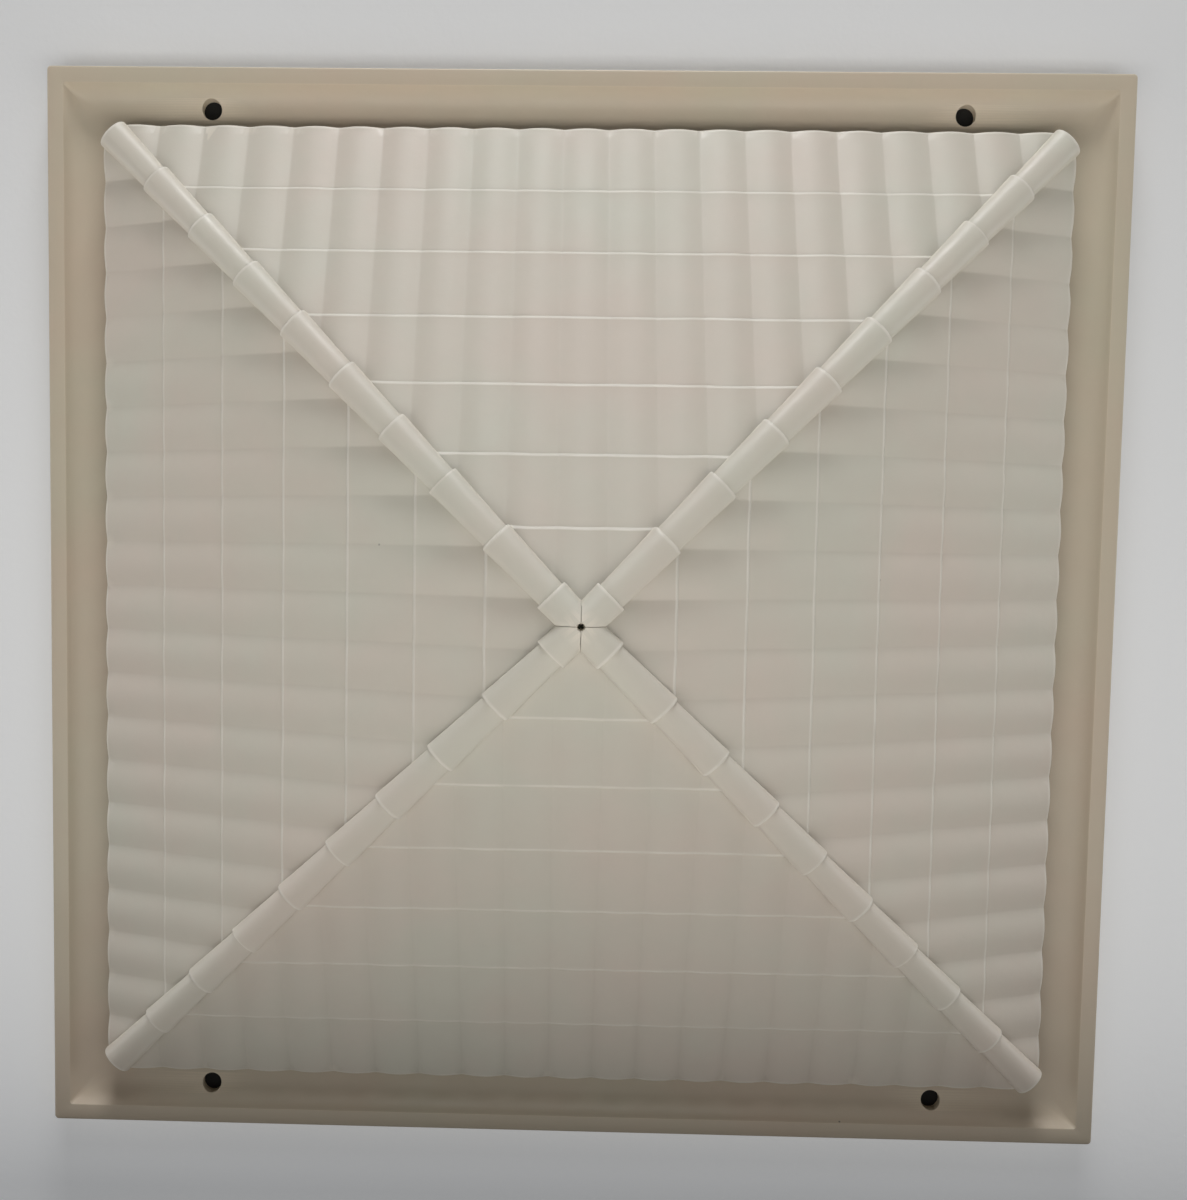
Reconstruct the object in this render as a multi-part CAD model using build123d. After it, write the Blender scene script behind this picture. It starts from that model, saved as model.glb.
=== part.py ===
from build123d import *
import os
from math import atan, ceil, cos, radians, sin, sqrt, tan

# A fixed roof vent cover: a square moulded flange that screws down round a roof opening, and a
# low pyramid roof of four tiled panels that stands over the opening on four corner spacers.
# +Z is up and away from the vehicle roof, +X is east and +Y is north. The origin is the centre
# of the underside, on the surface that the flange is fastened to. Millimetres.

# ---- flange ----
FLANGE = 406.0            # side of the square flange (16 in)
FLANGE_CORNER_R = 3.0     # rounding of its four plan corners
LIP_TOP = 11.0            # top of the raised outer lip
LIP_WIDTH = 6.2           # flat width of the lip
LIP_EDGE_R = 0.8          # rounding of the lip's outer top edge
LIP_WALL = 2.2            # wall thickness of the hollow lip
STEP_RUN = 0.8            # little steep step inside the lip
STEP_DROP = 1.6
COVE_RUN = 3.0            # hollow bevel from the step down to the gutter floor
GUTTER_TOP = 4.6          # gutter floor, where the mounting screws go
GUTTER_BOTTOM = 2.0
RIB_THICK = 1.6           # ribs across the hollow under the lip
RIBS_PER_SIDE = 8

# ---- opening, rain dam and screen ledge ----
DAM_OUT = 166.0           # half size of the rain dam round the opening, outside
DAM_WALL = 2.5
DAM_CORNER_R = 25.0
DAM_TOP = 10.0
LEDGE_IN = 158.0          # half size of the opening inside the screen ledge
LEDGE_BOTTOM = 6.0
LEDGE_TOP = 8.0

# ---- mounting holes ----
HOLE_X = 142.0            # half spacing
HOLE_Y = 189.0
HOLE_R = 3.75

# ---- pyramid roof ----
EAVE = 181.0              # half size of the roof at its eaves
PITCH_DEG = 24.0          # slope of each roof face
EAVE_TOP = 13.5           # height of the tile crests at the eaves
BARRELS_PER_HALF = 10.77  # tile barrels from the middle of an eave to its corner
BARREL_RISE = 1.8         # crest above valley
COURSE_STEP = 1.0         # how far a course stands above the one below it
FIRST_COURSE = 25.3       # plan length of the lowest course
COURSE_PITCH = 24.7       # plan length of each course above it
COURSE_COUNT = 8
PANEL_BASE = 0.8          # thickness left under the deepest valley
PANEL_JOINT = 0.5         # half the gap between two panels, under the hip caps

# ---- hip caps ----
HIP_PITCH = 18.6          # plan spacing of the ridge tiles, along X or Y
HIP_START = 177.2         # plan position of the lowest tile's end, along X or Y
HIP_LAP = 2.2             # how far a tile runs under the next one, along X or Y
HIP_HALF_LOW = 5.9        # half width at a tile's lower end
HIP_HALF_HIGH = 5.2       # and at its upper end
HIP_RISE_LOW = 4.0        # height above the roof's ridge line
HIP_RISE_HIGH = 3.0
HIP_SEAT = 0.05           # gap between a cap and the tile crests
HIP_MITRE = 0.1           # half the gap where two caps meet
APEX_PIT_R = 1.1

# ---- rafters, boss and spacers ----
RAFTER_HALF = 12.0
RAFTER_DEPTH = 5.5
RAFTER_END = 174.0        # plan position of a rafter's foot, along X or Y
RAFTER_SETBACK = 5.0      # how far its foot stays inside the eaves
BOSS_APOTHEM = 17.0
BOSS_DROP = 14.0
SPACER_AT = 167.0
SPACER_R = 6.0
POST_SCREW_R = 2.0
POST_SCREW_GRIP = 4.6     # length of the screw inside the rafter
POST_HEAD_R = 3.8
POST_HEAD_H = 1.2

# ---- insect screen ----
SCREEN_HALF = 162.3
SCREEN_THICK = 1.5
SCREEN_SLOT_LENGTH = 25.0 # spacing of the screen's slots, along and across
SCREEN_SLOT_PITCH = 6.0
SCREEN_SLOTS_LONG = 12
SCREEN_SLOTS_WIDE = 50
SCREEN_WEB = 1.8          # material left between two slots
RETAINER_OUT = 162.9
RETAINER_IN = 156.0
RETAINER_BAR = 7.0
RETAINER_THICK = 2.2
RETAINER_CORNER_R = 24.0
SMALL_SCREW_AT = 160.4
SMALL_SCREW_SIDE = 95.0
SMALL_SCREW_R = 1.2
SMALL_HEAD_R = 2.4
SMALL_HEAD_H = 1.1

# ---- gasket ----
GASKET_IN = 168.0
GASKET_OUT = 193.0

# ---- worked out from the above ----
HALF = FLANGE / 2
SLOPE = radians(PITCH_DEG)
APEX_TOP = EAVE_TOP + EAVE * tan(SLOPE)
BARREL = EAVE / BARRELS_PER_HALF
PANEL_THICK = PANEL_BASE + BARREL_RISE + COURSE_STEP
UNDERSIDE_DROP = PANEL_THICK / cos(SLOPE)
ROOM = 600.0

DOWN_SLOPE = Vector(cos(SLOPE), 0, -sin(SLOPE))
ROOF_NORMAL = Vector(sin(SLOPE), 0, cos(SLOPE))
SIDES = {"east": 0, "north": 90, "west": 180, "south": 270}
CORNERS = {"ne": 0, "nw": 90, "sw": 180, "se": 270}


def turned(shape, degrees):
    """The shape turned about the roof's vertical centre line."""
    return Rot(0, 0, degrees) * shape


def roof_body(drop):
    """Everything under a pyramid that lies this far, vertically, below the tile crests."""
    block = Box(ROOM, ROOM, ROOM)
    for degrees in SIDES.values():
        face = Plane(origin=(0, 0, APEX_TOP - drop), x_dir=(0, 1, 0), z_dir=ROOF_NORMAL)
        block = split(block, bisect_by=Plane(turned(Location(face), degrees)), keep=Keep.BOTTOM)
    return block


def slab(sketch, bottom, top):
    """A flat sketch as a plate between two heights."""
    return extrude(Pos(0, 0, bottom) * sketch, top - bottom)


def square(half, corner_r):
    return RectangleRounded(2 * half, 2 * half, corner_r)


# ---------------------------------------------------------------- base frame
def lip_inner_x():
    return HALF - LIP_WIDTH


def flange_side():
    """One side of the flange with its ribs, mitred at 45 degrees, for the east side."""
    inner = lip_inner_x()
    step_x = inner - STEP_RUN
    step_z = LIP_TOP - STEP_DROP
    cove_x = step_x - COVE_RUN
    bend = (step_x - 0.72 * COVE_RUN, GUTTER_TOP + 0.33 * (step_z - GUTTER_TOP))
    hollow_out = HALF - LIP_WALL
    hollow_top = LIP_TOP - LIP_WALL
    hollow_foot = cove_x + LIP_WALL
    hollow_in = step_x + LIP_WALL

    with BuildSketch(Plane.XZ) as section:
        with BuildLine():
            Line((HALF, 0), (HALF, LIP_TOP - LIP_EDGE_R))
            RadiusArc((HALF, LIP_TOP - LIP_EDGE_R), (HALF - LIP_EDGE_R, LIP_TOP), -LIP_EDGE_R)
            Line((HALF - LIP_EDGE_R, LIP_TOP), (inner, LIP_TOP))
            Line((inner, LIP_TOP), (step_x, step_z))
            ThreePointArc((step_x, step_z), bend, (cove_x, GUTTER_TOP))
            Polyline(
                (cove_x, GUTTER_TOP),
                (DAM_OUT - DAM_WALL, GUTTER_TOP),
                (DAM_OUT - DAM_WALL, GUTTER_BOTTOM),
                (hollow_foot, GUTTER_BOTTOM),
                (hollow_in, hollow_top),
                (hollow_out, hollow_top),
                (hollow_out, 0),
                (HALF, 0),
            )
        make_face()
    side = extrude(section.sketch, HALF, both=True)

    with BuildSketch(Plane.XZ) as web:
        with BuildLine():
            Polyline(
                (hollow_foot - 1, GUTTER_BOTTOM),
                (hollow_in - 1, hollow_top + 1),
                (hollow_out + 1, hollow_top + 1),
                (hollow_out + 1, GUTTER_BOTTOM),
                close=True,
            )
        make_face()
    rib = extrude(web.sketch, RIB_THICK / 2, both=True)
    spacing = 2 * (hollow_in - 10) / (RIBS_PER_SIDE - 1)
    first = -(RIBS_PER_SIDE - 1) / 2 * spacing
    side = side.fuse(*[Pos(0, first + i * spacing, 0) * rib for i in range(RIBS_PER_SIDE)])

    with BuildSketch() as mitre:
        with BuildLine():
            Polyline((0, 0), (HALF + 5, -HALF - 5), (HALF + 5, HALF + 5), close=True)
        make_face()
    return side & slab(mitre.sketch, -5, ROOM / 4)


def mounting_holes(bottom, top):
    hole = Circle(HOLE_R)
    spots = [(x, y) for x in (-HOLE_X, HOLE_X) for y in (-HOLE_Y, HOLE_Y)]
    return [slab(Pos(x, y, 0) * hole, bottom, top) for x, y in spots]


def corner_spots(at):
    return [(x, y) for x in (-at, at) for y in (-at, at)]


def small_screw_spots():
    """Two retainer screws on each of the four sides."""
    spots = []
    for along in (-SMALL_SCREW_SIDE, SMALL_SCREW_SIDE):
        for across in (-SMALL_SCREW_AT, SMALL_SCREW_AT):
            spots.append((along, across))
            spots.append((across, along))
    return spots


def base_frame():
    one = flange_side()
    ring = one.fuse(*[turned(one, degrees) for degrees in (90, 180, 270)])
    ring = ring & slab(square(HALF, FLANGE_CORNER_R), -1, LIP_TOP + 1)
    dam_in = DAM_OUT - DAM_WALL
    floor_patch = slab(square(DAM_OUT, DAM_CORNER_R), GUTTER_BOTTOM, DAM_TOP)
    clear = slab(square(dam_in, DAM_CORNER_R - DAM_WALL), -1, DAM_TOP + 1)
    ledge = slab(square(dam_in + 1, DAM_CORNER_R), LEDGE_BOTTOM, LEDGE_TOP)
    window = slab(square(LEDGE_IN, DAM_CORNER_R - DAM_WALL - 2), -1, DAM_TOP + 1)
    # the flange side runs to the dam's straight wall: this plate closes it behind the round corners
    corners = slab(Rectangle(2 * DAM_OUT, 2 * DAM_OUT), GUTTER_BOTTOM, GUTTER_TOP)
    frame = ring.fuse(corners, floor_patch) - clear
    frame = frame.fuse(ledge - window)
    cuts = mounting_holes(-1, LIP_TOP)
    cuts += [
        slab(Pos(x, y, 0) * Circle(POST_SCREW_R), 0, GUTTER_TOP + 1)
        for x, y in corner_spots(SPACER_AT)
    ]
    cuts += [
        slab(Pos(x, y, 0) * Circle(POST_HEAD_R), 0, GUTTER_BOTTOM + POST_HEAD_H)
        for x, y in corner_spots(SPACER_AT)
    ]
    cuts += [
        slab(Pos(x, y, 0) * Circle(SMALL_SCREW_R), LEDGE_BOTTOM - 1, LEDGE_TOP - 0.4)
        for x, y in small_screw_spots()
    ]
    return frame.cut(*cuts)


def flange_gasket():
    ring = slab(square(GASKET_OUT, 6), 0, GUTTER_BOTTOM)
    ring -= slab(square(GASKET_IN, DAM_CORNER_R), -1, GUTTER_BOTTOM + 1)
    return ring.cut(*mounting_holes(-1, GUTTER_BOTTOM + 1))


# ---------------------------------------------------------------- tiled roof
def course(butt_plan, length_plan):
    """One row of barrel tiles that starts at its upright lower end and runs up the east slope."""
    half_count = ceil(min(butt_plan, EAVE) / BARREL) + 1
    low = -PANEL_THICK - 3
    valley = -BARREL_RISE / cos(SLOPE)
    butt = DOWN_SLOPE * (butt_plan / cos(SLOPE)) + Vector(0, 0, APEX_TOP)
    end_plane = Plane(origin=butt, x_dir=(0, 1, 0), z_dir=(1, 0, 0))
    edge = (half_count + 0.5) * BARREL
    with BuildSketch(end_plane) as end:
        with BuildLine():
            for i in range(-half_count, half_count + 1):
                middle = i * BARREL
                left = (middle - BARREL / 2, valley)
                right = (middle + BARREL / 2, valley)
                ThreePointArc(left, (middle, 0), right)
            Polyline((edge, valley), (edge, low), (-edge, low), (-edge, valley))
        make_face()
    run = length_plan / cos(SLOPE)
    tilt = atan(COURSE_STEP * cos(SLOPE) / COURSE_PITCH)
    way = DOWN_SLOPE * -cos(tilt) + ROOF_NORMAL * -sin(tilt)
    return extrude(end.sketch, run, dir=way)


def east_panel():
    over = 2.0
    lap = 1.5
    rows = [course(EAVE + over, FIRST_COURSE + over + lap)]
    butt = EAVE - FIRST_COURSE
    for _ in range(COURSE_COUNT - 1):
        rows.append(course(butt, COURSE_PITCH + lap))
        butt -= COURSE_PITCH
    tiles = rows[0].fuse(*rows[1:])
    corner_x = HIP_START + PANEL_JOINT / 2
    corner_y = HIP_START - PANEL_JOINT / 2
    eave_y = 2 * HIP_START - EAVE
    with BuildSketch() as plan:
        with BuildLine():
            Polyline(
                (PANEL_JOINT, 0),
                (corner_x, -corner_y),
                (EAVE, -eave_y),
                (EAVE, eave_y),
                (corner_x, corner_y),
                close=True,
            )
        make_face()
    tiles = tiles & slab(plan.sketch, 0, ROOM / 4)
    seat = Plane(origin=(0, 0, APEX_TOP - UNDERSIDE_DROP), x_dir=(0, 1, 0), z_dir=ROOF_NORMAL)
    return split(tiles, bisect_by=seat, keep=Keep.TOP)


# ---------------------------------------------------------------- hips
def hip_plane(at):
    """Upright plane across the north-east hip, with its origin on the ridge line of the crests."""
    height = APEX_TOP - at * tan(SLOPE)
    across = (-1 / sqrt(2), 1 / sqrt(2), 0)
    along = (1 / sqrt(2), 1 / sqrt(2), 0)
    return Plane(origin=(at, at, height), x_dir=across, z_dir=along)


def arch(at, half, rise):
    """Half-round outline of a ridge tile, closed well below the roof."""
    fall = half * tan(SLOPE) / sqrt(2)
    with BuildSketch(hip_plane(at)) as outline:
        with BuildLine():
            ThreePointArc((-half, -fall), (0, rise), (half, -fall))
            Polyline((half, -fall), (half, -fall - 3), (-half, -fall - 3), (-half, -fall))
        make_face()
    return outline.sketch


def ridge_tile(low_at, high_at):
    ends = [arch(low_at, HIP_HALF_LOW, HIP_RISE_LOW), arch(high_at, HIP_HALF_HIGH, HIP_RISE_HIGH)]
    return loft(ends, ruled=True)


def ne_hip_cap():
    count = ceil(HIP_START / HIP_PITCH)
    tiles = []
    for i in range(count):
        low = HIP_START - i * HIP_PITCH
        tiles.append(ridge_tile(low, low - HIP_PITCH - HIP_LAP))
    cap = tiles[0].fuse(*tiles[1:])
    far = ROOM / 2
    quarter = slab(Pos(HIP_MITRE + far / 2, HIP_MITRE + far / 2, 0) * Rectangle(far, far), 0, far)
    cap = (cap & quarter) - roof_body(-HIP_SEAT)
    return cap - slab(Circle(APEX_PIT_R), 0, far)


def ne_hip_rafter():
    """Strip under the mitre of two panels, from the corner spacer up to the boss."""
    low = -UNDERSIDE_DROP - RAFTER_DEPTH
    ends = []
    for at in (RAFTER_END, BOSS_APOTHEM / sqrt(2)):
        with BuildSketch(hip_plane(at)) as outline:
            with Locations((0, low + RAFTER_DEPTH)):
                Rectangle(2 * RAFTER_HALF, 2 * RAFTER_DEPTH)
        ends.append(outline.sketch)
    inside_eaves = slab(square(EAVE - RAFTER_SETBACK, SPACER_R), 0, APEX_TOP)
    rafter = loft(ends, ruled=True) & roof_body(UNDERSIDE_DROP) & inside_eaves
    screw = Pos(SPACER_AT, SPACER_AT, 0) * Circle(POST_SCREW_R)
    return rafter - slab(screw, 0, rafter_foot() + POST_SCREW_GRIP)


def rafter_foot():
    """Height of the rafter's underside above the middle of a spacer."""
    return APEX_TOP - SPACER_AT * tan(SLOPE) - UNDERSIDE_DROP - RAFTER_DEPTH


def apex_boss():
    """Block under the apex that the four rafters butt against."""
    side = 2 * BOSS_APOTHEM
    top = APEX_TOP
    bottom = APEX_TOP - UNDERSIDE_DROP - RAFTER_DEPTH - BOSS_DROP
    block = slab(Rot(0, 0, 45) * Rectangle(side, side), bottom, top)
    return block & roof_body(UNDERSIDE_DROP)


def ne_corner_spacer():
    tube = slab(Pos(SPACER_AT, SPACER_AT, 0) * Circle(SPACER_R), GUTTER_TOP, LIP_TOP + 4)
    tube -= slab(Pos(SPACER_AT, SPACER_AT, 0) * Circle(POST_SCREW_R), 0, LIP_TOP + 5)
    fall = atan(tan(SLOPE) / sqrt(2))
    normal = hip_plane(SPACER_AT).z_dir * sin(fall) + Vector(0, 0, cos(fall))
    cut = Plane(origin=(SPACER_AT, SPACER_AT, rafter_foot()), z_dir=normal)
    return split(tube, bisect_by=cut, keep=Keep.BOTTOM)


def post_screws():
    screws = []
    for x, y in corner_spots(SPACER_AT):
        head = slab(Pos(x, y, 0) * Circle(POST_HEAD_R), GUTTER_BOTTOM, GUTTER_BOTTOM + POST_HEAD_H)
        shank_top = rafter_foot() + POST_SCREW_GRIP
        shank = slab(Pos(x, y, 0) * Circle(POST_SCREW_R), GUTTER_BOTTOM, shank_top)
        slot = Pos(x, y, GUTTER_BOTTOM) * (Box(4.4, 0.9, 1.2) + Box(0.9, 4.4, 1.2))
        screws.append(head.fuse(shank) - slot)
    return screws


# ---------------------------------------------------------------- insect screen
def insect_screen():
    sheet = square(SCREEN_HALF, RETAINER_CORNER_R)
    slot = Rectangle(SCREEN_SLOT_LENGTH - SCREEN_WEB, SCREEN_SLOT_PITCH - SCREEN_WEB)
    grid = GridLocations(SCREEN_SLOT_LENGTH, SCREEN_SLOT_PITCH, SCREEN_SLOTS_LONG, SCREEN_SLOTS_WIDE)
    holes = [Pos(x, y, 0) * Circle(SMALL_SCREW_R) for x, y in small_screw_spots()]
    return slab(sheet - grid * slot - holes, LEDGE_BOTTOM - SCREEN_THICK, LEDGE_BOTTOM)


def screen_retainer():
    bottom = LEDGE_BOTTOM - SCREEN_THICK - RETAINER_THICK
    top = LEDGE_BOTTOM - SCREEN_THICK
    ring = square(RETAINER_OUT, RETAINER_CORNER_R - 2) - square(RETAINER_IN, RETAINER_CORNER_R - 7)
    bars = Rectangle(2 * RETAINER_IN + 2, RETAINER_BAR) + Rectangle(RETAINER_BAR, 2 * RETAINER_IN + 2)
    holes = [Pos(x, y, 0) * Circle(SMALL_SCREW_R) for x, y in small_screw_spots()]
    return slab(ring + bars - holes, bottom, top)


def retainer_screws():
    under = LEDGE_BOTTOM - SCREEN_THICK - RETAINER_THICK
    screws = []
    for x, y in small_screw_spots():
        head = slab(Pos(x, y, 0) * Circle(SMALL_HEAD_R), under - SMALL_HEAD_H, under)
        shank = slab(Pos(x, y, 0) * Circle(SMALL_SCREW_R), under - SMALL_HEAD_H, LEDGE_TOP - 0.4)
        slot = Pos(x, y, under - SMALL_HEAD_H) * (Box(3.0, 0.6, 1.0) + Box(0.6, 3.0, 1.0))
        screws.append(head.fuse(shank) - slot)
    return screws


# ---------------------------------------------------------------- write the parts
def save(name, shape):
    solids = shape if isinstance(shape, list) else [shape]
    flat = [solid for item in solids for solid in item.solids()]
    body = flat[0] if len(flat) == 1 else Compound(children=flat)
    export_step(body, f"parts/{name}.step")


def main():
    os.makedirs("parts", exist_ok=True)
    save("base_frame", base_frame())
    save("flange_gasket", flange_gasket())
    panel = east_panel()
    for name, degrees in SIDES.items():
        save(f"tile_panel_{name}", turned(panel, degrees))
    cap = ne_hip_cap()
    rafter = ne_hip_rafter()
    spacer = ne_corner_spacer()
    for name, degrees in CORNERS.items():
        save(f"hip_cap_{name}", turned(cap, degrees))
        save(f"hip_rafter_{name}", turned(rafter, degrees))
        save(f"corner_spacer_{name}", turned(spacer, degrees))
    save("apex_boss", apex_boss())
    save("post_screws", post_screws())
    save("insect_screen", insect_screen())
    save("screen_retainer", screen_retainer())
    save("retainer_screws", retainer_screws())


main()
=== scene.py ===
from math import cos, pi, radians, sin, sqrt, tan

import bmesh
import bpy
from mathutils import Matrix, Vector, noise


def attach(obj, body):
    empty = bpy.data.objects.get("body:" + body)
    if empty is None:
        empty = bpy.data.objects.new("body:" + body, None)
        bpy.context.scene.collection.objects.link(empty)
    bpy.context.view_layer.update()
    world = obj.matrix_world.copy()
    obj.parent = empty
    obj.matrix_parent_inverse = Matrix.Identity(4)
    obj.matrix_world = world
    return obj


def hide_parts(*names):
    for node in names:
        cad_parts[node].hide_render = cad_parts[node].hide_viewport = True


# The looks of the roof vent cover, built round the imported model. The object's lengths are
# millimetres, turned into metres where its meshes are made. The floor, lamps and camera are in
# metres. +Y is the side that faces the main lamp.

MM = 0.001

# ---- roof and hips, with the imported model's plan and slope ----
EAVE = 181.0
SLOPE = radians(24.0)
APEX_TOP = 13.5 + EAVE * tan(SLOPE)
BARREL = EAVE / 10.77
BARREL_RISE = 1.15
COURSE_STEP = 1.0
COURSE_PITCH = 24.7
COURSE_COUNT = 8
FIRST_BUTT = 183.0
SECOND_BUTT = 155.7
PANEL_JOINT = 0.5
UNDERSIDE_DROP = 3.6 / cos(SLOPE)
HIP_START = 177.2
HIP_PITCH = 18.6
HIP_TILES = 10
HIP_HALF_LOW = 6.05
HIP_HALF_HIGH = 5.05
HIP_RISE_LOW = 4.0
HIP_RISE_HIGH = 2.85
HIP_SEAT = 0.3            # how far a cap's lower edge stands off the tile crests
HIP_MITRE = 0.1
HOLES = [(x, y) for x in (-142.0, 142.0) for y in (-189.0, 189.0)]
HOLE_R = 3.75
SIDES = {"east": 0, "north": 90, "west": 180, "south": 270}
CORNERS = {"ne": 0, "nw": 90, "sw": 180, "se": 270}

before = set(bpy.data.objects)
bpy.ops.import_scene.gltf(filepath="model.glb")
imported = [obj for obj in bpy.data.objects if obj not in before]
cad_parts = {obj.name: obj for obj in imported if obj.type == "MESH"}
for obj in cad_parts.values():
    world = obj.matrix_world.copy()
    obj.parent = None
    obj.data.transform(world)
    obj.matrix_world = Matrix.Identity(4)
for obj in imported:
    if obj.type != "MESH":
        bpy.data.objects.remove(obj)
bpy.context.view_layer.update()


# ---------------------------------------------------------------- mesh helpers
def wobble(x, y, scale, seed):
    """Smooth unevenness between about -1 and 1, the same on every run."""
    return noise.noise(Vector((x / scale, y / scale, seed * 7.31)))


def add_mesh(name, bm, node, degrees=0, smooth_angle=None):
    """Turns a millimetre bmesh into the piece that stands for a CAD node."""
    bmesh.ops.rotate(bm, cent=(0, 0, 0), matrix=Matrix.Rotation(radians(degrees), 3, "Z"), verts=bm.verts)
    bmesh.ops.scale(bm, vec=(MM, MM, MM), verts=bm.verts)
    bmesh.ops.recalc_face_normals(bm, faces=bm.faces)
    mesh = bpy.data.meshes.new(name)
    bm.to_mesh(mesh)
    bm.free()
    mesh.shade_smooth()
    if smooth_angle is not None:
        mesh.set_sharp_from_angle(angle=radians(smooth_angle))
    piece = bpy.data.objects.new(name, mesh)
    bpy.context.collection.objects.link(piece)
    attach(piece, "root")
    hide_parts(node)
    return piece


def cut_away(bm, point, normal, fill):
    """Removes what lies on the normal's side of a plane, and closes the cut if asked."""
    geom = list(bm.verts) + list(bm.edges) + list(bm.faces)
    result = bmesh.ops.bisect_plane(
        bm, geom=geom, dist=1e-5, plane_co=point, plane_no=normal, clear_outer=True
    )
    if fill:
        edges = [e for e in result["geom_cut"] if isinstance(e, bmesh.types.BMEdge)]
        bmesh.ops.contextual_create(bm, geom=edges)


# ---------------------------------------------------------------- tiled roof panels
BARREL_POWER = 1.25       # over 1 gives a flatter crown and steeper flanks
BUTT_RUN = 0.95           # plan length of a butt's drafted, rounded front
EAVE_ROUND = 0.9
BARREL_STATIONS = (-0.5, -0.475, -0.43, -0.37, -0.29, -0.18, -0.06, 0.06, 0.18, 0.29, 0.37, 0.43, 0.475)


def barrel_drop(v):
    """How far the barrel wave lies under its crest."""
    s = abs(v / BARREL - round(v / BARREL))
    return BARREL_RISE * (0.6 * sin(pi * s) ** (2 * BARREL_POWER) + 0.4 * (2 * s) ** 2.6)


def course_rows():
    """(plan position, drop under the crest plane, rim strength of the painted highlight) from the eave to
    the apex.
    """
    rows = []
    butts = [FIRST_BUTT] + [SECOND_BUTT - i * COURSE_PITCH for i in range(COURSE_COUNT)]
    for i in range(COURSE_COUNT):
        butt, upper = butts[i], butts[i + 1]
        length = butt - upper
        if i == 0:
            for share in (0.0, 0.3, 0.62, 0.88, 1.0):
                u = EAVE - EAVE_ROUND * (1 - cos(share * pi / 2))
                lift = EAVE_ROUND * (1 - sin(share * pi / 2))
                rows.append((u, COURSE_STEP * (butt - u) / length + lift, 1.0 if share < 0.9 else 0.5))
            start = FIRST_BUTT - EAVE + EAVE_ROUND
        else:
            for share in (0.0, 0.22, 0.48, 0.74, 1.0):
                u = butt - BUTT_RUN * share
                rows.append((u, COURSE_STEP * (1 - sin(share * pi / 2)) ** 1.15, min(4 * share, 1.0)))
            start = BUTT_RUN
        steps = 9
        for k in range(steps):
            t = start + 0.35 + (length - start - 0.7) * k / (steps - 1)
            u = butt - t
            if u > PANEL_JOINT:
                rows.append((u, COURSE_STEP * t / length, 0.0))
    rows.append((0.2, COURSE_STEP, 0.0))
    return rows


def tile_panel(name, degrees, seed):
    bm = bmesh.new()
    count = 11
    along = [(i + s) * BARREL for i in range(-count, count + 1) for s in BARREL_STATIONS]
    grid = []
    rim_layer = bm.verts.layers.float.new("rim")
    for u, drop, rim in course_rows():
        row = []
        for v in along:
            wave = barrel_drop(v)
            uneven = 0.035 * wobble(u, v, 23.0, seed) + 0.02 * wobble(u, v, 6.0, seed + 3)
            z = APEX_TOP - u * tan(SLOPE) - (wave + drop + 0.055 + uneven) / cos(SLOPE)
            shift = 0.22 * wobble(v, u, 19.0, seed + 5) + 0.18 * (wave / BARREL_RISE - 0.5)
            if u >= EAVE - EAVE_ROUND:
                shift = -0.25 * wave / BARREL_RISE
            vert = bm.verts.new((u + shift, v, z))
            vert[rim_layer] = rim
            row.append(vert)
        grid.append(row)
    for low, high in zip(grid, grid[1:]):
        for k in range(len(low) - 1):
            bm.faces.new((low[k], low[k + 1], high[k + 1], high[k]))
    half = sqrt(0.5)
    for side in (-1, 1):
        inner = Vector((PANEL_JOINT, 0, 0))
        cut_away(bm, inner, Vector((-half, side * half, 0)), False)
        corner = Vector((HIP_START, side * HIP_START, 0))
        cut_away(bm, corner, Vector((half, side * half, 0)), False)
    rim = [e for e in bm.edges if e.is_boundary]
    skirt = bmesh.ops.extrude_edge_only(bm, edges=rim)["geom"]
    low_verts = [g for g in skirt if isinstance(g, bmesh.types.BMVert)]
    for vert in low_verts:
        vert.co.z = APEX_TOP - vert.co.x * tan(SLOPE) - UNDERSIDE_DROP
    low_edges = [g for g in skirt if isinstance(g, bmesh.types.BMEdge) and g.is_boundary]
    under = bmesh.ops.contextual_create(bm, geom=low_edges)["faces"]
    bmesh.ops.triangulate(bm, faces=under)
    return add_mesh(f"tiles_{name}", bm, f"tile_panel_{name}", degrees, 40)


# ---------------------------------------------------------------- hip caps
ARCH_POINTS = 20
CAP_EDGE = 0.4            # rounding of a ridge tile's lower end
APEX_PIT = [(1.0, APEX_TOP - 3), (1.15, APEX_TOP + 2.2), (2.1, APEX_TOP + 4.2)]


def cap_ring(bm, at, half, rise, skew, rim):
    """One closed section of a cap across the north-east hip, marked with its rim strength for the painted
    highlight.
    """
    layer = bm.verts.layers.float["rim"]
    verts = []
    lean = tan(SLOPE) / sqrt(2)
    fall = half * lean
    for k in range(ARCH_POINTS + 1):
        angle = pi * (k / ARCH_POINTS - 0.5)
        p = half * sin(angle)
        h = HIP_SEAT - fall + (rise + fall - HIP_SEAT - 0.04) * max(cos(angle), 0.0) ** 0.92
        a = at + skew * p
        verts.append(bm.verts.new(cap_point(a, p, h)))
    for p in (half * 0.5, 0.0, -half * 0.5):
        verts.append(bm.verts.new(cap_point(at + skew * p, p, HIP_SEAT - abs(p) * lean)))
    for vert in verts:
        vert[layer] = rim
    return verts


def cap_point(a, p, h):
    across = p / sqrt(2)
    return (a - across, a + across, APEX_TOP - a * tan(SLOPE) + h)


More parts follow.
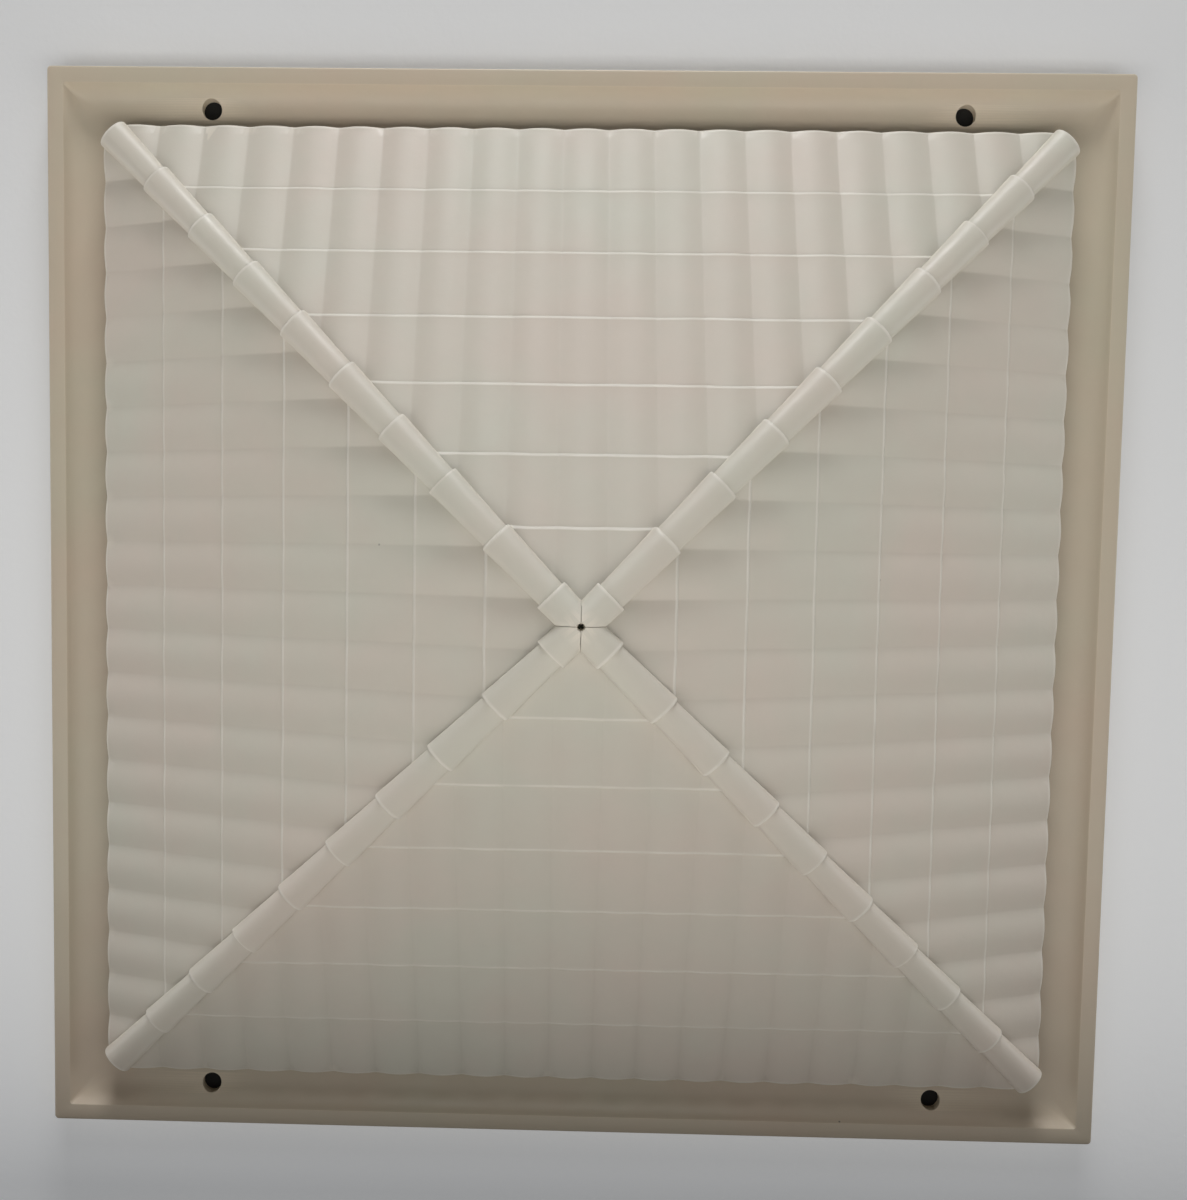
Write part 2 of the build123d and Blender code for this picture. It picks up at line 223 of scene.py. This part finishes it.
def hip_cap(name, degrees, seed):
    bm = bmesh.new()
    bm.verts.layers.float.new("rim")
    rings = []
    for i in range(HIP_TILES):
        low = HIP_START - i * HIP_PITCH
        if i:
            low += 0.5 * wobble(i * 9.7, seed, 3.0, seed)
        wide = 1 + 0.02 * wobble(i * 5.3, seed, 3.0, seed + 2)
        skew = 0.03 * wobble(i * 4.1, seed, 3.0, seed + 4)
        for back, inset in ((0.0, CAP_EDGE), (0.1, 0.17), (0.26, 0.05), (CAP_EDGE, 0.0), (0.9, 0.0)):
            rim = 0.0 if back > 0.8 else 1.0
            half = (HIP_HALF_LOW - inset) * wide
            rings.append((low - back, half, HIP_RISE_LOW - inset - back * 0.05, skew, rim))
        for share in (0.25, 0.5, 0.75, 0.96, 1.0):
            back = 0.9 + (HIP_PITCH - 0.95) * share
            t = back / HIP_PITCH
            half = HIP_HALF_LOW + (HIP_HALF_HIGH - HIP_HALF_LOW) * t
            rise = HIP_RISE_LOW + (HIP_RISE_HIGH - HIP_RISE_LOW) * t
            rings.append((low - back, half * wide, rise, skew, 0.0))
    made = []
    last_at = 1e9
    for at, half, rise, skew, rim in rings:
        at = min(at, last_at - 0.02)
        last_at = at
        made.append(cap_ring(bm, at, half, rise, skew, rim))
    for low, high in zip(made, made[1:]):
        count = len(low)
        for k in range(count):
            bm.faces.new((low[k], low[(k + 1) % count], high[(k + 1) % count], high[k]))
    bm.faces.new(made[0])
    bm.faces.new(made[-1])
    cut_away(bm, Vector((HIP_MITRE, 0, 0)), Vector((-1, 0, 0)), True)
    cut_away(bm, Vector((0, HIP_MITRE, 0)), Vector((0, -1, 0)), True)
    piece = add_mesh(f"ridge_{name}", bm, f"hip_cap_{name}", degrees)
    pit = bmesh.new()
    add_turned(pit, 0.0, 0.0, APEX_PIT, 18)
    carve(piece, pit)
    piece.data.set_sharp_from_angle(angle=radians(35))
    return piece


# ---------------------------------------------------------------- flange, gasket and screen
FLANGE_HALF = 203.0
FLANGE_CORNER = 1.5
LIP_TOP = 11.0
LIP_EDGE_R = 0.8
LIP_INNER = 196.8
COVE_TOP = (195.9, 9.3)   # half size and height at the foot of the little step
COVE_BEND = (192.9, 4.9)
COVE_END = 185.0
COVE_CORNER = 1.1
COVE_ROWS = 14
GUTTER_TOP = 4.6
GUTTER_BOTTOM = 2.0
DAM_OUT = 166.0
DAM_IN = 163.5
DAM_TOP = 10.0
DAM_EDGE = 0.5
DAM_CORNER = 25.0
DAM_IN_CORNER = 22.5
LEDGE_IN = 158.0
LEDGE_TOP = 8.0
LEDGE_BOTTOM = 6.0
LEDGE_EDGE = 0.3
LEDGE_CORNER = 20.5
HOLLOW_OUT = 200.8        # the lip is hollow underneath, between these half sizes
HOLLOW_IN = 198.2
HOLLOW_FOOT = 195.2
HOLLOW_TOP = 8.8
RIBS_PER_SIDE = 8
RIB_THICK = 1.6
POST_AT = 167.0
POST_HEAD_R = 3.8
POST_R = 2.0
SMALL_SCREW_AT = 160.4
SMALL_SCREW_SIDE = 95.0
SMALL_SCREW_R = 1.2
GASKET_IN = 168.0
GASKET_OUT = 193.0
GASKET_THICK = 2.0
GASKET_EDGE = 0.3
SCREEN_HALF = 162.3
SCREEN_TOP = 6.0
SCREEN_BOTTOM = 4.5
SCREEN_CORNER = 24.0
HEM_IN = 157.0
HEM_CORNER = 19.0
HEM_EDGE = 0.2
WEAVE_HALF = 159.0
WEAVE_CORNER = 20.0
WEAVE_Z = 5.25
WIRE_PITCH = 4.0
WIRE_R = 0.32
CORNER_STEPS = 8


def square_ring(bm, half, corner, z, straight=6):
    """A rounded square of points at one height, the same count whatever its size."""
    verts = []
    for quarter in range(4):
        turn = Matrix.Rotation(quarter * pi / 2, 2)
        centre = half - corner
        for k in range(CORNER_STEPS + 1):
            angle = pi / 2 * k / CORNER_STEPS
            flat = turn @ Vector((centre + corner * cos(angle), centre + corner * sin(angle)))
            verts.append(bm.verts.new((flat.x, flat.y, z)))
        for k in range(1, straight):
            share = k / straight
            flat = turn @ Vector((centre * (1 - 2 * share), half))
            verts.append(bm.verts.new((flat.x, flat.y, z)))
    return verts


def sweep_rings(bm, profile):
    """Closes a profile of (half size, corner radius, height) into a square ring."""
    rings = [square_ring(bm, *point) for point in profile]
    for low, high in zip(rings, rings[1:] + rings[:1]):
        count = len(low)
        for k in range(count):
            bm.faces.new((low[k], low[(k + 1) % count], high[(k + 1) % count], high[k]))


def add_box(bm, low, high):
    made = bmesh.ops.create_cube(bm, size=1.0)["verts"]
    for vert in made:
        vert.co = Vector([a + (b - a) * (c + 0.5) for a, b, c in zip(low, high, vert.co)])
    return made


def add_turned(bm, x, y, profile, sides=40):
    """A closed solid of revolution about an upright axis, from (radius, height) points."""
    rings = []
    for radius, z in profile:
        ring = []
        for k in range(sides):
            angle = 2 * pi * k / sides
            ring.append(bm.verts.new((x + radius * cos(angle), y + radius * sin(angle), z)))
        rings.append(ring)
    for low, high in zip(rings, rings[1:]):
        for k in range(sides):
            bm.faces.new((low[k], low[(k + 1) % sides], high[(k + 1) % sides], high[k]))
    bm.faces.new(rings[0][::-1])
    bm.faces.new(rings[-1])


def carve(piece, cutter_bm):
    """Cuts a set of closed solids out of a piece for good."""
    bmesh.ops.scale(cutter_bm, vec=(MM, MM, MM), verts=cutter_bm.verts)
    bmesh.ops.recalc_face_normals(cutter_bm, faces=cutter_bm.faces)
    mesh = bpy.data.meshes.new("cutter")
    cutter_bm.to_mesh(mesh)
    cutter_bm.free()
    cutter = bpy.data.objects.new("cutter", mesh)
    bpy.context.collection.objects.link(cutter)
    modifier = piece.modifiers.new("carve", "BOOLEAN")
    modifier.operation = "DIFFERENCE"
    modifier.solver = "EXACT"
    modifier.object = cutter
    bpy.context.view_layer.update()
    graph = bpy.context.evaluated_depsgraph_get()
    carved = bpy.data.meshes.new_from_object(piece.evaluated_get(graph))
    piece.modifiers.clear()
    old = piece.data
    piece.data = carved
    bpy.data.meshes.remove(old)
    bpy.data.objects.remove(cutter)


def small_screw_spots():
    spots = []
    for along in (-SMALL_SCREW_SIDE, SMALL_SCREW_SIDE):
        for across in (-SMALL_SCREW_AT, SMALL_SCREW_AT):
            spots += [(along, across), (across, along)]
    return spots


def lip_section():
    """Outer wall, rounded edge, flat lip and the rounded little step inside it."""
    wall_top = LIP_TOP - LIP_EDGE_R
    section = [(FLANGE_HALF, FLANGE_CORNER, 0.0), (FLANGE_HALF, FLANGE_CORNER, wall_top)]
    for k in range(1, 5):
        angle = pi / 2 * k / 4
        inset = LIP_EDGE_R * (1 - cos(angle))
        height = wall_top + LIP_EDGE_R * sin(angle)
        section.append((FLANGE_HALF - inset, FLANGE_CORNER - inset * 0.5, height))
    section.append((LIP_INNER + 0.35, COVE_CORNER + 0.2, LIP_TOP))
    section.append((LIP_INNER + 0.05, COVE_CORNER + 0.1, LIP_TOP - 0.07))
    section.append((LIP_INNER - 0.15, COVE_CORNER, LIP_TOP - 0.32))
    section.append((LIP_INNER - 0.68, COVE_CORNER, LIP_TOP - 1.38))
    return section


def cove_section():
    """Hollow curve from the little step down to the gutter floor."""
    section = [(COVE_TOP[0], COVE_CORNER, COVE_TOP[1])]
    for k in range(1, COVE_ROWS + 1):
        t = k / COVE_ROWS
        x = (1 - t) ** 2 * COVE_TOP[0] + 2 * t * (1 - t) * COVE_BEND[0] + t * t * COVE_END
        z = (1 - t) ** 2 * COVE_TOP[1] + 2 * t * (1 - t) * COVE_BEND[1] + t * t * GUTTER_TOP
        section.append((x, COVE_CORNER + 5.0 * t * t, z))
    return section


def dam_section():
    """Gutter floor, rain dam and the screen's ledge inside it."""
    section = [(180.0, 10.0, GUTTER_TOP), (174.0, 16.0, GUTTER_TOP)]
    section.append((DAM_OUT + DAM_EDGE, DAM_CORNER, GUTTER_TOP))
    section.append((DAM_OUT, DAM_CORNER, GUTTER_TOP + DAM_EDGE))
    section.append((DAM_OUT, DAM_CORNER, DAM_TOP - DAM_EDGE))
    section.append((DAM_OUT - DAM_EDGE, DAM_CORNER - DAM_EDGE, DAM_TOP))
    section.append((DAM_IN + 0.4, DAM_IN_CORNER + 0.4, DAM_TOP))
    section.append((DAM_IN, DAM_IN_CORNER, DAM_TOP - 0.4))
    section.append((DAM_IN, DAM_IN_CORNER, LEDGE_TOP))
    section.append((LEDGE_IN + LEDGE_EDGE, LEDGE_CORNER, LEDGE_TOP))
    section.append((LEDGE_IN, LEDGE_CORNER, LEDGE_TOP - LEDGE_EDGE))
    section.append((LEDGE_IN, LEDGE_CORNER, LEDGE_BOTTOM + LEDGE_EDGE))
    section.append((LEDGE_IN + LEDGE_EDGE, LEDGE_CORNER, LEDGE_BOTTOM))
    section.append((DAM_IN, DAM_IN_CORNER, LEDGE_BOTTOM))
    return section


def underside_section():
    """Flat underside of the gutter and the hollow under the lip."""
    section = [(DAM_IN, DAM_IN_CORNER, GUTTER_BOTTOM), (180.0, 10.0, GUTTER_BOTTOM)]
    section += [(HOLLOW_FOOT, 1.0, GUTTER_BOTTOM), (HOLLOW_IN, 1.0, HOLLOW_TOP)]
    section += [(HOLLOW_OUT, 1.2, HOLLOW_TOP), (HOLLOW_OUT, 1.2, 0.0)]
    return section


def lip_ribs(bm):
    """Ribs across the hollow under the lip, leaning like the wall they run into."""
    spacing = 2 * (HOLLOW_IN - 10) / (RIBS_PER_SIDE - 1)
    for quarter in range(4):
        turn = Matrix.Rotation(quarter * pi / 2, 3, "Z")
        for i in range(RIBS_PER_SIDE):
            y = (i - (RIBS_PER_SIDE - 1) / 2) * spacing
            low = (HOLLOW_FOOT - 0.6, y - RIB_THICK / 2, GUTTER_BOTTOM)
            high = (HOLLOW_OUT + 0.4, y + RIB_THICK / 2, HOLLOW_TOP + 0.3)
            rib = add_box(bm, low, high)
            for vert in rib:
                if vert.co.x < HOLLOW_FOOT and vert.co.z > GUTTER_BOTTOM + 1:
                    vert.co.x = HOLLOW_IN - 0.6
            bmesh.ops.rotate(bm, cent=(0, 0, 0), matrix=turn, verts=rib)


def base_frame():
    bm = bmesh.new()
    sweep_rings(bm, lip_section() + cove_section() + dam_section() + underside_section())
    lip_ribs(bm)
    piece = add_mesh("flange", bm, "base_frame")
    cutter = bmesh.new()
    for x, y in HOLES:
        add_turned(cutter, x, y, [(HOLE_R, -1), (HOLE_R, 7)])
    post_hole = [(POST_HEAD_R, 0.5), (POST_HEAD_R, 3.2), (POST_R, 3.2), (POST_R, 6.0)]
    for x in (-POST_AT, POST_AT):
        for y in (-POST_AT, POST_AT):
            add_turned(cutter, x, y, post_hole, 24)
    for x, y in small_screw_spots():
        add_turned(cutter, x, y, [(SMALL_SCREW_R, 5.0), (SMALL_SCREW_R, 7.6)], 16)
    carve(piece, cutter)
    piece.data.set_sharp_from_angle(angle=radians(32))
    return piece


def gasket():
    """Foam ring whose skin still covers the screw holes: the screws pierce it when fitted."""
    bm = bmesh.new()
    out, inside, edge = GASKET_OUT, GASKET_IN, GASKET_EDGE
    section = [(out, 6.0, 0.25), (out + 0.1, 6.0, 1.0), (out, 6.0, GASKET_THICK - 0.2)]
    section += [(out - edge, 6.0, GASKET_THICK), (180.0, 14.0, GASKET_THICK)]
    section += [(inside + edge, DAM_CORNER, GASKET_THICK), (inside, DAM_CORNER, GASKET_THICK - 0.2)]
    section += [(inside - 0.1, DAM_CORNER, 1.0), (inside, DAM_CORNER, 0.25)]
    section += [(inside + edge, DAM_CORNER, 0.0), (180.0, 14.0, 0.0), (out - edge, 6.0, 0.0)]
    sweep_rings(bm, section)
    piece = add_mesh("foam_seal", bm, "flange_gasket")
    cutter = bmesh.new()
    for x, y in HOLES:
        add_turned(cutter, x, y, [(HOLE_R, -1), (HOLE_R, 1.2), (HOLE_R - 0.4, 1.6)])
    carve(piece, cutter)
    piece.data.set_sharp_from_angle(angle=radians(40))
    return piece


def wire(bm, off, reach, across, parity):
    """One wire of the weave, over and under its neighbours, with closed ends."""
    last = None
    steps = int(reach // WIRE_PITCH)
    for j in range(-steps, steps + 1):
        side = 1 if (parity + j) % 2 else -1
        z = WEAVE_Z + side * WIRE_R * 0.95
        ring = []
        for dp, dz in ((WIRE_R, 0), (0, WIRE_R), (-WIRE_R, 0), (0, -WIRE_R)):
            flat = (off + dp, j * WIRE_PITCH) if across else (j * WIRE_PITCH, off + dp)
            ring.append(bm.verts.new((*flat, z + dz)))
        if last:
            for k in range(4):
                bm.faces.new((last[k], last[(k + 1) % 4], ring[(k + 1) % 4], ring[k]))
        else:
            bm.faces.new(ring[::-1])
        last = ring
    bm.faces.new(last)


def woven_screen():
    """Square weave of fibre wires with a moulded hem, in the slotted sheet's place."""
    bm = bmesh.new()
    top, bottom, edge = SCREEN_TOP, SCREEN_BOTTOM, HEM_EDGE
    section = [(SCREEN_HALF, SCREEN_CORNER, bottom + edge), (SCREEN_HALF, SCREEN_CORNER, top - edge)]
    section += [(SCREEN_HALF - edge, SCREEN_CORNER, top), (HEM_IN + edge, HEM_CORNER, top)]
    section += [(HEM_IN, HEM_CORNER, top - edge), (HEM_IN, HEM_CORNER, bottom + edge)]
    section += [(HEM_IN + edge, HEM_CORNER, bottom), (SCREEN_HALF - edge, SCREEN_CORNER, bottom)]
    sweep_rings(bm, section)
    straight = WEAVE_HALF - WEAVE_CORNER
    count = int(WEAVE_HALF // WIRE_PITCH)
    for across in (0, 1):
        for i in range(-count, count + 1):
            beyond = max(abs(i * WIRE_PITCH) - straight, 0.0)
            reach = straight + sqrt(max(WEAVE_CORNER ** 2 - beyond ** 2, 0.0))
            wire(bm, i * WIRE_PITCH, reach, across, i + across)
    return add_mesh("insect_weave", bm, "insect_screen", 0, 50)


# ---------------------------------------------------------------- materials
def link(tree, a, b):
    tree.links.new(a, b)


def new_material(name):
    mat = bpy.data.materials.new(name)
    mat.use_nodes = True
    tree = mat.node_tree
    shader = tree.nodes["Principled BSDF"]
    coords = tree.nodes.new("ShaderNodeTexCoord").outputs["Object"]
    return mat, tree, shader, coords


def noise_node(tree, coords, scale, detail=3.0, rough=0.5, distortion=0.0):
    node = tree.nodes.new("ShaderNodeTexNoise")
    node.inputs["Scale"].default_value = scale
    node.inputs["Detail"].default_value = detail
    node.inputs["Roughness"].default_value = rough
    node.inputs["Distortion"].default_value = distortion
    link(tree, coords, node.inputs["Vector"])
    return node.outputs["Fac"]


def map_range(tree, value, from_low, from_high, to_low, to_high):
    node = tree.nodes.new("ShaderNodeMapRange")
    sockets = ("From Min", "From Max", "To Min", "To Max")
    for socket, number in zip(sockets, (from_low, from_high, to_low, to_high)):
        node.inputs[socket].default_value = number
    link(tree, value, node.inputs["Value"])
    return node.outputs["Result"]


def mix_colour(tree, factor, first, second, mode="MIX"):
    node = tree.nodes.new("ShaderNodeMix")
    node.data_type = "RGBA"
    node.blend_type = mode
    colour_sockets = [s for s in node.inputs if s.type == "RGBA"]
    factor_socket = node.inputs[0]
    for socket, value in ((factor_socket, factor), (colour_sockets[0], first), (colour_sockets[1], second)):
        if isinstance(value, bpy.types.NodeSocket):
            link(tree, value, socket)
        elif isinstance(value, tuple):
            socket.default_value = (*value, 1.0)
        else:
            socket.default_value = value
    return [s for s in node.outputs if s.type == "RGBA"][0]


def bump(tree, height, distance, strength=1.0, under=None):
    node = tree.nodes.new("ShaderNodeBump")
    node.inputs["Distance"].default_value = distance
    node.inputs["Strength"].default_value = strength
    link(tree, height, node.inputs["Height"])
    if under is not None:
        link(tree, under, node.inputs["Normal"])
    return node.outputs["Normal"]


def scaled(colour, factor):
    return tuple(c * factor for c in colour)


def multiply(tree, first, second):
    node = tree.nodes.new("ShaderNodeMath")
    node.operation = "MULTIPLY"
    link(tree, first, node.inputs[0])
    link(tree, second, node.inputs[1])
    return node.outputs[0]


def dirt_specks(tree, coords):
    """Mask of small spots, present only where a slow noise is high."""
    spots = tree.nodes.new("ShaderNodeTexVoronoi")
    spots.inputs["Scale"].default_value = 95.0
    link(tree, coords, spots.inputs["Vector"])
    near = map_range(tree, spots.outputs["Distance"], 0.035, 0.05, 1.0, 0.0)
    where = map_range(tree, noise_node(tree, coords, 31.0, 2.0, 0.5), 0.66, 0.68, 0.0, 0.8)
    return multiply(tree, near, where)


def rim_highlight(tree, coords):
    """Mask of the painted highlight along the tile edges, read from the meshes' rim strength and broken up
    by noise.
    """
    rim = tree.nodes.new("ShaderNodeAttribute")
    rim.attribute_name = "rim"
    rim_breakup = map_range(tree, noise_node(tree, coords, 60.0, 3.0, 0.6), 0.3, 0.6, 0.4, 0.8)
    return multiply(tree, rim.outputs["Fac"], rim_breakup)


def tone_with_painted_light(tree, coords, colour, patches):
    """Slow warm and cool patches, fine mottle, a painted highlight on the ridges and painted shade in the
    hollows.
    """
    warm_shift = (1.0 + patches * 0.5, 1.0 - patches * 0.35, 1.0 - patches * 0.2)
    cool_shift = (1.0 - patches * 0.5, 1.0 + patches * 0.35, 1.0 + patches * 0.3)
    warm = tuple(c * k for c, k in zip(colour, warm_shift))
    cool = tuple(c * k for c, k in zip(colour, cool_shift))
    patch = noise_node(tree, coords, 14.0, 4.0, 0.55)
    tone = mix_colour(tree, map_range(tree, patch, 0.35, 0.65, 0.0, 1.0), cool, warm)
    mottle = noise_node(tree, coords, 130.0, 5.0, 0.6)
    tone = mix_colour(tree, map_range(tree, mottle, 0.3, 0.7, 0.0, 0.16), tone, scaled(colour, 0.9))
    # Painted highlight on convex edges and painted shade in concave hollows, both read from the pointiness.
    point = tree.nodes.new("ShaderNodeNewGeometry").outputs["Pointiness"]
    tone = mix_colour(tree, map_range(tree, point, 0.515, 0.56, 0.0, 0.75), tone, scaled(colour, 1.2))
    return mix_colour(tree, map_range(tree, point, 0.47, 0.36, 0.0, 0.3), tone, scaled(colour, 0.85))


def plastic(name, colour, rough=0.45, patches=0.05, specks=True, grain=1.0, rim_highlight_colour=None):
    """Aged moulded plastic: uneven tone, rare dirt specks, a painted highlight on ridges and rims, painted
    shade in hollows, and a fine grain.
    """
    mat, tree, shader, coords = new_material(name)
    tone = tone_with_painted_light(tree, coords, colour, patches)
    if specks:
        tone = mix_colour(tree, dirt_specks(tree, coords), tone, (0.16, 0.14, 0.12))
    # Painted highlight: the tile and cap rims are lightened towards a near-white.
    if rim_highlight_colour is not None:
        tone = mix_colour(tree, rim_highlight(tree, coords), tone, rim_highlight_colour)
    link(tree, tone, shader.inputs["Base Color"])
    smear = noise_node(tree, coords, 45.0, 5.0, 0.65, 0.6)
    link(tree, map_range(tree, smear, 0.3, 0.7, rough - 0.07, rough + 0.1), shader.inputs["Roughness"])
    soft = noise_node(tree, coords, 240.0, 3.0, 0.5)
    fine = noise_node(tree, coords, 2600.0, 2.0, 0.5)
    normal = bump(tree, soft, 0.00006 * grain)
    normal = bump(tree, fine, 0.00002 * grain, under=normal)
    link(tree, normal, shader.inputs["Normal"])
    return mat


ROOF_WHITE = (0.765, 0.715, 0.625)
FRAME_BEIGE = (0.67, 0.585, 0.46)
RIM_HIGHLIGHT_WHITE = (0.93, 0.89, 0.81)
roof_mat = plastic("roof_plastic", ROOF_WHITE, rim_highlight_colour=RIM_HIGHLIGHT_WHITE)
cap_mat = plastic("cap_plastic", scaled(ROOF_WHITE, 1.02), rim_highlight_colour=RIM_HIGHLIGHT_WHITE)
frame_mat = plastic("frame_plastic", FRAME_BEIGE, rough=0.42)
inner_mat = plastic("inner_plastic", (0.5, 0.48, 0.44), rough=0.55, specks=False)
retainer_mat = plastic("retainer_plastic", (0.42, 0.40, 0.36), rough=0.5, specks=False)
screen_mat = plastic("screen_mesh", (0.05, 0.05, 0.05), rough=0.6, specks=False)
foam_mat = plastic("gasket_foam", (0.012, 0.012, 0.012), rough=0.9, specks=False, grain=6.0)
steel_mat = plastic("screw_steel", (0.5, 0.5, 0.52), rough=0.35, specks=False)
steel_mat.node_tree.nodes["Principled BSDF"].inputs["Metallic"].default_value = 1.0


def paint(obj, mat):
    obj.data.materials.clear()
    obj.data.materials.append(mat)


for node_name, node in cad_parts.items():
    if node_name.startswith("base"):
        paint(node, frame_mat)
    elif node_name.startswith("tile"):
        paint(node, roof_mat)
    elif node_name.startswith("hip_cap"):
        paint(node, cap_mat)
    elif node_name.startswith(("hip_rafter", "apex", "corner")):
        paint(node, inner_mat)
    elif node_name == "screen_retainer":
        paint(node, retainer_mat)
    elif node_name == "insect_screen":
        paint(node, screen_mat)
    elif node_name == "flange_gasket":
        paint(node, foam_mat)
    else:
        paint(node, steel_mat)

for number, (side, angle) in enumerate(SIDES.items()):
    paint(tile_panel(side, angle, number + 1), roof_mat)
for number, (corner, angle) in enumerate(CORNERS.items()):
    paint(hip_cap(corner, angle, number + 11), cap_mat)
paint(base_frame(), frame_mat)
paint(gasket(), foam_mat)
paint(woven_screen(), screen_mat)


# ---------------------------------------------------------------- floor, light and camera
FLOOR_HALF = 30.0
FLOOR_DROP = 0.0003
FLOOR_DARK = (0.76, 0.775, 0.795)
FLOOR_PALE = (0.80, 0.812, 0.83)
FLOOR_GLOW = (0.97, 0.985, 1.0, 1.0)


def floor_material():
    """Pale matt floor with a faint glow that grows towards -Y, the side behind the cards."""
    mat, tree, shader, coords = new_material("pale_floor")
    cloud = map_range(tree, noise_node(tree, coords, 2.2, 3.0, 0.5), 0.3, 0.7, 0.0, 1.0)
    link(tree, mix_colour(tree, cloud, FLOOR_DARK, FLOOR_PALE), shader.inputs["Base Color"])
    spread = tree.nodes.new("ShaderNodeSeparateXYZ")
    link(tree, coords, spread.inputs[0])
    glow = map_range(tree, spread.outputs["Y"], 0.22, -0.2, 0.08, 0.25)
    link(tree, glow, shader.inputs["Emission Strength"])
    shader.inputs["Emission Color"].default_value = FLOOR_GLOW
    shader.inputs["Roughness"].default_value = 0.75
    link(tree, bump(tree, noise_node(tree, coords, 300.0), 0.0001), shader.inputs["Normal"])
    return mat


def floor():
    bm = bmesh.new()
    bmesh.ops.create_grid(bm, x_segments=8, y_segments=8, size=FLOOR_HALF)
    mesh = bpy.data.meshes.new("floor")
    bm.to_mesh(mesh)
    bm.free()
    piece = bpy.data.objects.new("floor", mesh)
    piece.location.z = -FLOOR_DROP
    bpy.context.collection.objects.link(piece)
    paint(piece, floor_material())


def area_lamp(name, position, aim, size, power, colour=(1, 1, 1)):
    data = bpy.data.lights.new(name, "AREA")
    data.shape = "RECTANGLE"
    data.size, data.size_y = size
    data.energy = power
    data.color = colour
    lamp = bpy.data.objects.new(name, data)
    lamp.location = position
    ahead = Vector(aim) - Vector(position)
    lamp.rotation_euler = ahead.to_track_quat("-Z", "Y").to_euler()
    lamp.visible_camera = False
    bpy.context.collection.objects.link(lamp)


def polar(distance, azimuth, elevation):
    az, el = radians(azimuth), radians(elevation)
    return tuple(distance * k for k in (cos(az) * cos(el), sin(az) * cos(el), sin(el)))


def camera():
    data = bpy.data.cameras.new("camera")
    data.sensor_fit = "HORIZONTAL"
    data.sensor_width = 36.0
    data.lens = 40.0
    data.shift_x = 0.052
    data.shift_y = 0.0303
    data.clip_start = 0.01
    cam = bpy.data.objects.new("camera", data)
    place = Vector((-0.0064, 0.0239, 0.5144))
    aim = Vector((-0.0177, -0.0093, 0.0))
    ahead = (aim - place).normalized()
    right = ahead.cross(Vector((0, 1, 0))).normalized()
    up = right.cross(ahead)
    roll = Matrix.Rotation(radians(-0.905), 3, ahead)
    basis = Matrix((roll @ right, roll @ up, -ahead)).transposed()
    cam.matrix_world = Matrix.Translation(place) @ basis.to_4x4()
    bpy.context.collection.objects.link(cam)
    bpy.context.scene.camera = cam


AIM = (0, 0, 0.03)
LAMP_DISTANCE = 1.5
SOFTBOX = (0.5, 0.3)
CARD_Y = -0.235           # the cards stand for light thrown back by a table beside the flange
WARM = (1.0, 0.97, 0.92)
LAMPS = (                 # name, azimuth, elevation, power
    ("key", 90, 12, 9.7),
    ("high_key", 90, 35, 1.6),
    ("west_wall", 180, 8, 2.2),
    ("east_wall", 0, 8, 2.2),
)
CARDS = (                 # name, height, size, power
    ("bounce_low", 0.165, (1.0, 0.17), 0.2),
    ("bounce_near", 0.375, (1.2, 0.25), 0.86),
    ("bounce_far", 0.75, (1.6, 0.5), 6.8),
)


def world_fill():
    world = bpy.data.worlds.new("world")
    world.use_nodes = True
    background = world.node_tree.nodes["Background"]
    background.inputs["Color"].default_value = (0.97, 0.98, 1.0, 1.0)
    background.inputs["Strength"].default_value = 0.02
    bpy.context.scene.world = world


floor()
camera()
for lamp_name, azimuth, elevation, power in LAMPS:
    area_lamp(lamp_name, polar(LAMP_DISTANCE, azimuth, elevation), AIM, SOFTBOX, power)
for lamp_name, height, size, power in CARDS:
    area_lamp(lamp_name, (0, CARD_Y, height), (0, 0.1, height), size, power, WARM)
world_fill()
bpy.context.scene.view_settings.view_transform = "Standard"
